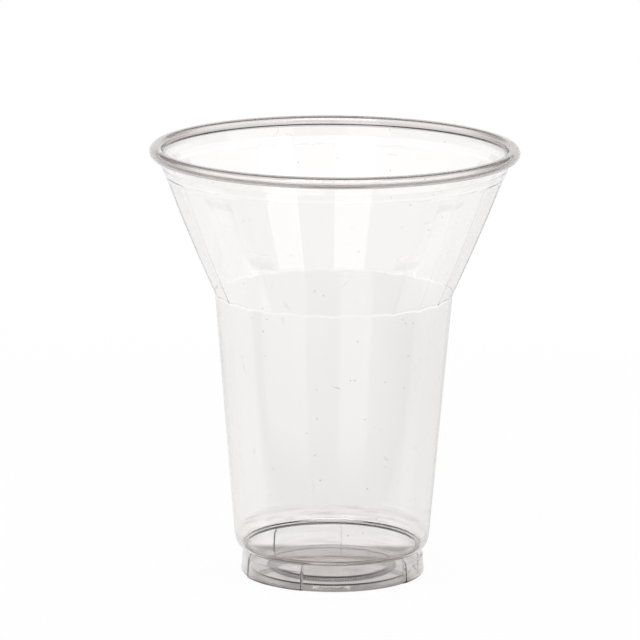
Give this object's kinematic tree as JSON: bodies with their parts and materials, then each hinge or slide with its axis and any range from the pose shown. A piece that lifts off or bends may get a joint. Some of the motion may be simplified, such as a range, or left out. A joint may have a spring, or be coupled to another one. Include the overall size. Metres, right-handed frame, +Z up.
{
  "type": "plastic sundae cup",
  "caption": "Clear one-piece plastic sundae cup: rolled rim, flare of flat panels, tapering body, rounded shoulder over a necked hollow foot with stacking lugs.",
  "frame": {"origin": "centre of the foot's underside, on the table", "axes": "+Z up along the cup's axis, towards the rolled rim; the cup was seen from -Y"},
  "size_m": [0.098, 0.098, 0.1155],
  "materials": {
    "clear_plastic": "clear, smooth and glossy, thermoformed PET sheet"
  },
  "bodies": {
    "root": {"cup": "clear_plastic"}
  },
  "joints": []
}
